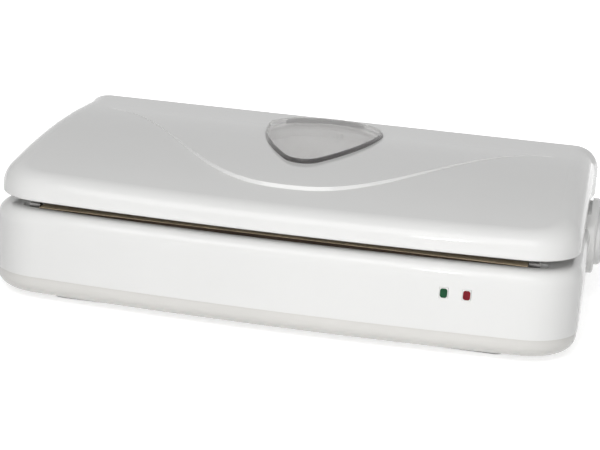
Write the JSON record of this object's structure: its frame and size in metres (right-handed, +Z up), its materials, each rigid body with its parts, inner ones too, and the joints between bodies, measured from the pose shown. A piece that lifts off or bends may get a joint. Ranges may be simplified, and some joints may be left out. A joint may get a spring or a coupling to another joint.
{
  "type": "vacuum sealer",
  "caption": "Countertop vacuum sealer: long white base with a hinged crowned lid, wave step, smoked window, sealing slot, side release buttons and two lamps.",
  "frame": {"origin": "on the table under the middle of the sealer", "axes": "+X along the sealing bar to the user's right, +Y to the hinge at the rear, +Z up"},
  "size_m": [0.388, 0.212, 0.1001],
  "materials": {
    "shell_white": "moulded gloss white",
    "cover_white": "moulded white, slightly warmer",
    "button_white": "moulded gloss white",
    "inner_white": "moulded satin white",
    "smoked_lens": "clear smoked plastic",
    "gasket_grey": "soft grey",
    "strip_rubber": "soft dark",
    "works_plastic": "satin",
    "steel": "plain steel",
    "foot_rubber": "soft pale grey",
    "bar_plastic": "heat-proof dark brown",
    "tape_cloth": "tan coated cloth",
    "black_plastic": "satin black",
    "lamp_green": "tinted clear",
    "lamp_red": "tinted clear",
    "board_green": "coated board",
    "motor_steel": "plated can",
    "hose_rubber": "soft black",
    "core_iron": "laminated",
    "coil_copper": "wound and taped"
  },
  "bodies": {
    "base": {"upper_housing": "shell_white", "bottom_cover": "cover_white", "foot_strips": "foot_rubber", "case_screws": "steel", "vacuum_trough": "inner_white", "lower_gasket": "gasket_grey", "sealing_bar": "bar_plastic", "heating_wire": "steel", "sealing_tape": "tape_cloth", "wire_clamps": "steel", "switch_bodies": "black_plastic", "lamp_green": "lamp_green", "lamp_red": "lamp_red", "lamp_board": "board_green", "pump_motor": "motor_steel", "pump_head": "black_plastic", "suction_nozzle": "works_plastic", "vacuum_hose": "hose_rubber", "transformer_core": "core_iron", "transformer_coil": "coil_copper", "control_board": "board_green", "board_parts": "black_plastic", "cord_gland": "hose_rubber"},
    "lid": {"lid_shell": "shell_white", "lid_inner_panel": "inner_white", "window_lens": "smoked_lens", "window_well": "inner_white", "upper_gasket": "gasket_grey", "pressure_strip": "strip_rubber", "lid_catches": "works_plastic", "hinge_pins": "steel", "lid_screws": "steel"},
    "button_right": {"release_button_right": "button_white", "latch_hook_right": "works_plastic"},
    "button_left": {"release_button_left": "button_white", "latch_hook_left": "works_plastic"},
    "plunger_right": {"switch_plunger_right": "works_plastic"},
    "plunger_left": {"switch_plunger_left": "works_plastic"},
    "rotor": {"pump_rotor": "steel"}
  },
  "joints": [
    {"name": "lid_hinge", "type": "hinge", "parent": "base", "child": "lid", "pos_m": [0, 0.096, 0.07], "axis": [-1, 0, 0], "range_deg": [0, 78]},
    {"name": "button_right_press", "type": "slide", "parent": "base", "child": "button_right", "axis": [-1, 0, 0], "range_m": [0, 0.003], "stiffness_N_per_m": 600, "springref_m": -0.002},
    {"name": "button_left_press", "type": "slide", "parent": "base", "child": "button_left", "axis": [1, 0, 0], "range_m": [0, 0.003], "stiffness_N_per_m": 600, "springref_m": -0.002},
    {"name": "plunger_right_press", "type": "slide", "parent": "base", "child": "plunger_right", "axis": [0, 0, -1], "range_m": [0, 0.0015], "stiffness_N_per_m": 300, "springref_m": -0.001},
    {"name": "plunger_left_press", "type": "slide", "parent": "base", "child": "plunger_left", "axis": [0, 0, -1], "range_m": [0, 0.0015], "stiffness_N_per_m": 300, "springref_m": -0.001},
    {"name": "pump_spin", "type": "hinge", "parent": "base", "child": "rotor", "pos_m": [0, 0.042, 0.027], "axis": [1, 0, 0], "continuous": true}
  ]
}
